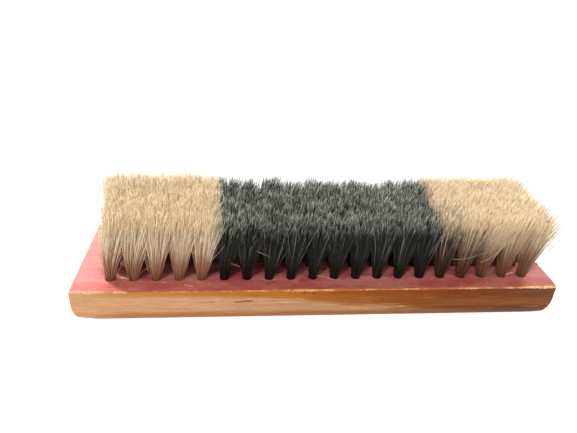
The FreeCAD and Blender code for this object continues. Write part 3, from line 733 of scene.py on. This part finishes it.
LEAN_X = {
    "left": [[4.8, 3.2, 3.0], [2.0, 1.6, 2.4], [-1.9, 0.2, 1.6]],
    "middle": [[3.0, 1.6, 0.0], [2.4, 2.0, 2.6], [1.6, 2.8, 4.4]],
    "right": [[0.2, 1.8, 1.6], [2.6, 3.0, 4.0], [4.6, 3.2, 3.6]],
}
LEAN_Y = {
    "left": [[0.2, 0.0, -0.2], [0.0, 0.0, 0.0], [1.0, 1.0, 1.0]],
    "middle": [[-0.2, -0.2, -0.3], [0.0, 0.0, 0.0], [0.0, 0.0, 0.3]],
    "right": [[-0.3, -0.8, -0.2], [0.0, 0.0, 0.4], [1.0, 1.2, 1.4]],
}
RINGS = np.array([-0.22, 0.03, 0.22, 0.44, 0.66, 0.84, 0.94])


def strands_for(section, row, cols, first_col, seed, per_tuft):
    rng = np.random.RandomState(seed)
    dark = section == "middle"
    n_cols = len(cols)
    front, back = row == 0, row == ROWS - 1
    out = []
    for k, c in enumerate(cols):
        cx, cy = X0 + (first_col + c) * PX, Y0 + row * PY
        rf, cf = row / 4.0, c / max(n_cols - 1, 1)
        lx = control(LEAN_X[section], rf, cf) + rng.normal(0, 0.32)
        ly = control(LEAN_Y[section], rf, cf) + rng.normal(0, 0.25)
        n = per_tuft
        i = np.arange(n)
        rr = np.sqrt((i + 0.5) / n)
        th = i * 2.399963 + rng.uniform(0, 6.28) + rng.normal(0, 0.15, n)
        u, v = rr * np.cos(th), rr * np.sin(th)
        root = np.stack([cx + u * 1.62, cy + v * 1.62], 1)
        # disc to rounded square
        q2 = 2 * math.sqrt(2.0)
        sx = 0.5 * (np.sqrt(np.maximum(2 + u * u - v * v + q2 * u, 0)) - np.sqrt(np.maximum(2 + u * u - v * v - q2 * u, 0)))
        sy = 0.5 * (np.sqrt(np.maximum(2 - u * u + v * v + q2 * v, 0)) - np.sqrt(np.maximum(2 - u * u + v * v - q2 * v, 0)))
        sx, sy = u + (sx - u) * 0.75, v + (sy - v) * 0.75
        wide = rng.normal(1.0, 0.08 if dark else 0.04)
        hx = (PX / 2 + (0.30 if dark and back else 0.85 if dark and front else 1.35 if dark else 1.05 if front else 1.30)) * wide
        hy = PY / 2 + (0.60 if front else 0.80 if back else 1.60 if dark else 1.35)
        fan = np.stack([sx * hx, sy * hy], 1)
        # clumps: neighbouring bristles draw together at the tip
        nc = 44 if dark else 56
        cu = rng.uniform(-1, 1, (nc, 2)) * (hx, hy)
        near = ((fan[:, None, :] - cu[None]) ** 2).sum(2).argmin(1)
        pull = (0.85 if dark else 0.60) * rng.uniform(0.3, 1.0, nc)[near]
        fan += (cu[near] - fan) * pull[:, None]
        fan += rng.normal(0, 0.36 if dark else 0.38, (n, 2))
        share = 0.30 if dark else 0.42
        tint = rng.uniform(0, 1, nc)[near] * share + rng.uniform(0, 1, n) * (1 - share)
        # the left front row gets fewer brown strands so its shaded cones read brighter: painted light
        if section == "left" and front:
            tint = np.where(rng.uniform(0, 1, n) < 0.16, 1.0, tint * 0.42)
        # wild ones at the rim splay outwards, some cross to the neighbours
        rim = rr > 0.70
        wild = (rng.uniform(0, 1, n) < (0.11 if front else 0.06)) & rim
        fan += np.stack([np.cos(th), np.sin(th)], 1) * (rng.uniform(0.8, 3.8, n) * wild)[:, None]
        if section == "left" and k == 0:
            if not back:
                fan[:, 0] = np.where(fan[:, 0] < 0, fan[:, 0] * 0.74, fan[:, 0])
            frayed = (rng.uniform(0, 1, n) < (0.30 if back else 0.12)) & (u < -0.35)
            fan[:, 0] -= np.where(frayed, rng.gamma(1.4, 1.1, n).clip(0, 5.0), 0)
        if section == "right" and k == n_cols - 1:
            frayed = (rng.uniform(0, 1, n) < 0.42) & (u > 0.15)
            fan[:, 0] += np.where(frayed, rng.gamma(1.7, 1.8, n).clip(0, 8.0), 0)
            tint = np.where(frayed, 0.75 + 0.25 * tint, tint)
        cross = rng.uniform(0, 1, n) < (0.06 if front else 0.03)
        fan[cross] += rng.normal(0, 2.6, (int(cross.sum()), 2)) * (1.0, 0.6)
        lean = np.stack([np.full(n, lx), np.full(n, ly)], 1) * rng.normal(1.0, 0.16, n)[:, None]
        # lengths: cut level, worn and ragged; some bristles are short, more of them at the front
        hgt = FREE + (-0.9 if dark else 1.1 + 0.5 * back) + rng.normal(0, 0.55 if dark else 0.20)
        ln = hgt + rng.normal(0, 1.20 if dark else 0.52, nc)[near] + rng.normal(0, 0.85 if dark else 0.48, n)
        ln = np.where(rng.uniform(0, 1, n) < 0.10, ln - rng.gamma(1.6, 2.0, n), ln)
        if front:
            depth = np.clip(-v - 0.05, 0, 1)
            ln -= depth * rng.gamma(1.1, 2.3 if not dark else 1.8, n)
        ln = np.where(rng.uniform(0, 1, n) < 0.012, ln + rng.uniform(0.3, 1.1, n), ln)
        ln = np.clip(ln, 9.0, FREE + 2.6)
        d = fan + lean - np.stack([u * 1.62, v * 1.62], 1)
        dist = np.hypot(d[:, 0], d[:, 1])
        full = FREE + 0.25
        drop = full - np.sqrt(np.maximum(full ** 2 - dist ** 2, 60.0))
        top = np.minimum(THICK + ln - drop * 0.40, THICK + FREE + 2.6)
        shine = rng.uniform(0, 1, n)
        # how dark the roots are painted: brown roots and painted shade under the mat, darkest in the right section's
        # first columns beside the black tufts
        deep = {"left": 0.10, "middle": 0.0, "right": 0.76 - 0.30 * cf}[section]
        if section == "right" and c == 0:
            deep = 0.95 if row < 2 else 0.78
        if section == "right" and c == 1 and front:
            deep = 0.80
        out.append(dict(root=root, fan=fan - np.stack([u * 1.62, v * 1.62], 1), lean=lean, top=top,
                        pf=(rng.normal({"left": 1.08, "middle": 1.36, "right": 1.16}[section], 0.05) + rng.normal(0, 0.18, n)).clip(0.6, 1.9),
                        pl=rng.normal(2.1 if section == "right" else 1.35, 0.20, n).clip(0.9, 2.8),
                        bend=rng.normal(0, 0.48 if dark else 0.42, n), ba=rng.uniform(0, 6.283, n),
                        curl=rng.normal(0, 1.0 if dark else 0.90, n), ca=rng.uniform(0, 6.283, n),
                        rad=rng.normal(0.108, 0.018, n).clip(0.070, 0.155) * np.where(shine > 0.90, 1.25, 1.0),
                        phi=rng.uniform(0, 6.283, n),
                        a=tint, b=shine,
                        d=np.where(rng.uniform(0, 1, n) < 0.03, 0.15, np.clip(deep + rng.normal(0, 0.10, n), 0, 1))))
    return {k: np.concatenate([o[k] for o in out]) for k in out[0]}


def strand_centre(s, t):
    tc = max(t, 0.0)
    f = tc ** s["pf"][:, None]
    g = tc ** s["pl"][:, None]
    bend = np.stack([np.cos(s["ba"]), np.sin(s["ba"])], 1) * s["bend"][:, None]
    curl = np.stack([np.cos(s["ca"]), np.sin(s["ca"])], 1) * s["curl"][:, None]
    return (s["root"] + s["fan"] * f + s["lean"] * g + bend * math.sin(math.pi * tc)
            + curl * max(0.0, (tc - 0.55) / 0.45) ** 2.6)


def hair_mesh(name, s, uv_cell):
    n = len(s["top"])
    nr = len(RINGS)
    verts = np.zeros((n, nr * 3 + 1, 3))
    tt = np.zeros((n, nr * 3 + 1))
    for k, t in enumerate(RINGS):
        tc = max(t, 0.0)
        centre = strand_centre(s, t)
        z = THICK + (s["top"] - THICK) * tc if t >= 0 else np.full(n, THICK + t * FREE)
        r = s["rad"] * (1.0 - 0.50 * tc ** 1.6)
        for a in range(3):
            ang = s["phi"] + a * 2.0943951
            verts[:, k * 3 + a, 0] = centre[:, 0] + r * np.cos(ang)
            verts[:, k * 3 + a, 1] = centre[:, 1] + r * np.sin(ang)
            verts[:, k * 3 + a, 2] = z
            tt[:, k * 3 + a] = tc * (s["top"] - THICK) / FREE
    local = np.zeros((n, nr * 3 + 1))
    for k, t in enumerate(RINGS):
        local[:, k * 3:k * 3 + 3] = max(t, 0.0)
    local[:, -1] = 1.0
    verts[:, -1, :2] = strand_centre(s, 1.0)
    verts[:, -1, 2] = s["top"]
    tt[:, -1] = (s["top"] - THICK) / FREE
    tt = np.clip(tt, 0.0, 1.0)
    per = nr * 3 + 1
    base = (np.arange(n) * per)[:, None]
    quad = []
    for k in range(nr - 1):
        for a in range(3):
            b = (a + 1) % 3
            quad.append([k * 3 + a, k * 3 + b, (k + 1) * 3 + b, (k + 1) * 3 + a])
    tri = [[(nr - 1) * 3 + a, (nr - 1) * 3 + (a + 1) % 3, nr * 3] for a in range(3)]
    tri.append([2, 1, 0])
    quad, tri = np.array(quad), np.array(tri)
    quads = (base[:, :, None] + quad[None]).reshape(-1, 4)
    tris = (base[:, :, None] + tri[None]).reshape(-1, 3)
    me = mesh_from_arrays(name, verts.reshape(-1, 3) * MM, quads, tris)
    add_float(me, "hair_t", tt.ravel())
    add_float(me, "hair_a", np.repeat(s["a"], per))
    add_float(me, "hair_b", np.repeat(s["b"], per))
    add_float(me, "hair_brown_root_shade", np.repeat(s["d"], per))
    add_float(me, "hair_l", local.ravel())
    # bake layout: a small upright strip for each bristle
    px = 512
    cw, ch = uv_cell
    across = px // cw
    col, rowi = np.arange(n) % across, np.arange(n) // across
    u0, v0 = col * cw / px, rowi * ch / px
    uw, vh = (cw - 0.6) / px, (ch - 1.0) / px
    side_u = [0.0, 1 / 3.0, 2 / 3.0, 1.0]
    quv = np.zeros((n, len(quad), 4, 2))
    qi = 0
    vt = np.append(np.maximum(RINGS, 0.0), 1.0)
    vt[1] = 0.06
    for k in range(nr - 1):
        for a in range(3):
            for c, (su, kk) in enumerate(((side_u[a], k), (side_u[a + 1], k), (side_u[a + 1], k + 1), (side_u[a], k + 1))):
                quv[:, qi, c, 0] = u0 + (0.3 / px) + su * uw
                quv[:, qi, c, 1] = v0 + (0.5 / px) + vt[kk] * vh
            qi += 1
    tuv = np.zeros((n, len(tri), 3, 2))
    for a in range(3):
        for c, (su, vv) in enumerate(((side_u[a], vt[nr - 1]), (side_u[a + 1], vt[nr - 1]), ((side_u[a] + side_u[a + 1]) / 2, 1.0))):
            tuv[:, a, c, 0] = u0 + (0.3 / px) + su * uw
            tuv[:, a, c, 1] = v0 + (0.5 / px) + vv * vh
    for c, (su, vv) in enumerate(((0.0, 0.0), (0.5, 0.0), (1.0, 0.02))):
        tuv[:, 3, c, 0] = u0 + (0.3 / px) + su * uw
        tuv[:, 3, c, 1] = v0 + (0.5 / px) + vv * vh
    uv = np.concatenate([quv.reshape(-1, 2), tuv.reshape(-1, 2)])
    layer = me.uv_layers.new(name="OFBake")
    layer.data.foreach_set("uv", uv.astype(np.float32).ravel())
    return me


# ---------------------------------------------------------------------------
# make the pieces
# ---------------------------------------------------------------------------
wood_mat = block_material()
block = add_piece("block_body", build_block(), wood_mat, replaces=("wooden_block",))

light_mat = hair_material("light_bristle", False)
dark_mat = hair_material("dark_bristle", True)
PER_TUFT = 420
for section, shade, first, count, mat, cell in (("left", "light", 0, 5, light_mat, (4, 30)),
                                                 ("middle", "dark", 5, 10, dark_mat, (3, 20)),
                                                 ("right", "light", 15, 5, light_mat, (4, 30))):
    for row in range(ROWS):
        node = "%s_%s_tufts_row_%d" % (section, shade, row + 1)
        s = strands_for(section, row, list(range(count)), first, 1000 + first * 10 + row, PER_TUFT)
        me = hair_mesh(node + "_bristles", s, cell)
        add_piece(node + "_bristles", me, mat, replaces=(node,))

# a few loose bristles lying across the tufts: start, end (mm), rise of the middle towards the front and up
LOOSE = (
    ((61.6, -21.6, 24.5), (71.2, -22.4, 34.6), 0.2, -1.6, 0.085),
    ((50.5, -21.6, 26.2), (64.3, -22.2, 30.1), 0.2, -1.3, 0.080),
    ((-43.4, -21.8, 25.8), (-37.4, -22.4, 33.7), 0.4, -0.6, 0.085),
    ((-26.0, -21.6, 30.1), (-20.3, -22.0, 27.4), 0.4, 0.4, 0.085),
    ((-35.3, -21.2, 24.4), (-31.9, -21.6, 23.0), 0.2, 0.2, 0.075),
    ((-49.8, -21.6, 30.3), (-47.0, -22.0, 28.1), 0.2, 0.2, 0.085),
    ((-2.2, -19.4, 17.2), (8.4, -20.2, 14.75), 0.2, 0.35, 0.080),
    ((-81.8, -19.6, 24.2), (-86.6, -20.8, 33.0), 0.3, -0.9, 0.080),
    ((-82.2, -19.2, 22.0), (-86.2, -20.4, 30.2), 0.3, -0.8, 0.075),
    ((-82.4, -19.0, 20.4), (-85.2, -20.0, 28.0), 0.3, -0.7, 0.070),
    ((-82.0, -18.8, 19.0), (-84.6, -19.6, 25.6), 0.2, -0.6, 0.070),
)


def loose_mesh(name):
    """Each loose bristle is a thin five-sided thread on a shallow arc, closed at both ends."""
    sides, steps = 5, 14
    V, Q, Tn, T, UV = [], [], [], [], []
    for i, (p0, p1, out_, up, rad) in enumerate(LOOSE):
        p0, p1 = np.array(p0), np.array(p1)
        pts = []
        for k in range(steps + 1):
            t = k / steps
            h = math.sin(math.pi * t) + 0.18 * math.sin(2 * math.pi * t + i)
            pts.append(p0 + (p1 - p0) * t + np.array((0.0, -out_ * h, up * h)))
        base = len(V)
        for k in range(steps + 1):
            a = pts[min(k + 1, steps)] - pts[max(k - 1, 0)]
            a /= np.linalg.norm(a)
            s1 = np.cross(a, (0.0, 1.0, 0.0))
            s1 /= np.linalg.norm(s1)
            s2 = np.cross(a, s1)
            r = 0.46 * rad * (1.0 - 0.55 * (k / steps) ** 2)
            for q in range(sides):
                g = 2 * math.pi * q / sides
                V.append(pts[k] + s1 * r * math.cos(g) + s2 * r * math.sin(g))
                T.append(0.6 + 0.4 * k / steps)
        for k in range(steps):
            for q in range(sides):
                q2 = (q + 1) % sides
                Q.append((base + k * sides + q, base + k * sides + q2, base + (k + 1) * sides + q2, base + (k + 1) * sides + q))
                u0, v0 = (i % 8) / 8.0, (i // 8) / 4.0
                for (kk, qq) in ((k, q), (k, q + 1), (k + 1, q + 1), (k + 1, q)):
                    UV.append((u0 + 0.01 + 0.10 * qq / sides, v0 + 0.01 + 0.22 * kk / steps))
        ends = []
        for k, order in ((0, (4, 3, 2, 1, 0)), (steps, (0, 1, 2, 3, 4))):
            b = base + k * sides
            for m_ in (1, 2, 3):
                ends.append((b + order[0], b + order[m_], b + order[m_ + 1]))
        Tn.append((ends, ((i % 8) / 8.0 + 0.115, (i // 8) / 4.0 + 0.01)))
    tris, tuv = [], []
    for ends, (u0, v0) in Tn:
        for t3 in ends:
            tris.append(t3)
            tuv += [(u0, v0), (u0 + 0.004, v0), (u0, v0 + 0.004)]
    me = mesh_from_arrays(name, np.array(V) * MM, Q, tris)
    nv = len(V)
    rng = np.random.RandomState(77)
    per = sides * (steps + 1)
    add_float(me, "hair_t", T)
    add_float(me, "hair_l", np.full(nv, 0.80))
    add_float(me, "hair_a", np.repeat(rng.uniform(0, 0.3, len(LOOSE)), per))
    add_float(me, "hair_b", np.repeat(rng.uniform(0.66, 0.84, len(LOOSE)), per))
    add_float(me, "hair_brown_root_shade", np.zeros(nv))
    layer = me.uv_layers.new(name="OFBake")
    layer.data.foreach_set("uv", np.array(UV + tuv, np.float32).ravel())
    return me


add_piece("loose_light_bristles", loose_mesh("loose_light_bristles"), light_mat)

# anchors keep their CAD shape and get a drawn-wire finish
wire = bpy.data.materials.new("anchor_wire")
W = Nodes(wire)
w_out = W.new("ShaderNodeOutputMaterial")
w_b = W.new("ShaderNodeBsdfPrincipled")
W.link(w_b.outputs[0], w_out.inputs[0])
w_co = W.scaled(W.new("ShaderNodeTexCoord").outputs["Object"], (1000.0, 1000.0, 1000.0))
w_n = W.noise(W.scaled(w_co, (6.0, 0.7, 6.0)), 1.0, 3.0, 0.6)
W.link(W.ramp(w_n, [(0.3, srgb(140, 134, 126)), (0.7, srgb(196, 192, 186))]), w_b.inputs["Base Color"])
w_b.inputs["Metallic"].default_value = 1.0
w_b.inputs["Roughness"].default_value = 0.38
for name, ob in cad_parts.items():
    if "anchors" in name:
        ob.data.materials.clear()
        ob.data.materials.append(wire)

# ---------------------------------------------------------------------------
# floor and light
# ---------------------------------------------------------------------------
fl = mesh_from_arrays("floor", [(-4, -4, 0), (4, -4, 0), (4, 4, 0), (-4, 4, 0)], [(0, 1, 2, 3)], [], smooth=False)
floor = bpy.data.objects.new("floor", fl)
scene.collection.objects.link(floor)
fm = bpy.data.materials.new("floor")
F = Nodes(fm)
f_out = F.new("ShaderNodeOutputMaterial")
f_b = F.new("ShaderNodeBsdfPrincipled")
F.link(f_b.outputs[0], f_out.inputs[0])
f_b.inputs["Base Color"].default_value = (0.30, 0.30, 0.30, 1.0)
f_b.inputs["Roughness"].default_value = 0.9
f_b.inputs["Specular IOR Level"].default_value = 0.1
f_b.inputs["Emission Color"].default_value = (1.0, 1.0, 1.0, 1.0)
f_b.inputs["Emission Strength"].default_value = 0.92
fl.materials.append(fm)


def sun(name, azimuth, elevation, strength, angle, color):
    """A soft distant light; azimuth is where it stands, counted from +Y towards +X."""
    data = bpy.data.lights.new(name, "SUN")
    data.energy = strength
    data.angle = math.radians(angle)
    data.color = color
    ob = bpy.data.objects.new(name, data)
    scene.collection.objects.link(ob)
    a, e = math.radians(azimuth), math.radians(elevation)
    toward = Vector((math.sin(a) * math.cos(e), math.cos(a) * math.cos(e), math.sin(e)))
    ob.location = toward
    ob.rotation_euler = (-toward).to_track_quat("-Z", "Y").to_euler()
    return ob


sun("key_left_back", -49.0, 46.0, 2.85, 11.0, (1.0, 0.97, 0.93))
sun("fill_left_front", -152.0, 44.0, 0.85, 8.0, (1.0, 0.96, 0.90))
sun("key_right_back", 48.0, 46.0, 1.55, 18.0, (1.0, 0.97, 0.93))

world = bpy.data.worlds.new("world")
scene.world = world
world.use_nodes = True
bg = world.node_tree.nodes.get("Background") or world.node_tree.nodes.new("ShaderNodeBackground")
bg.inputs[0].default_value = (1.0, 1.0, 1.0, 1.0)
bg.inputs[1].default_value = 0.58
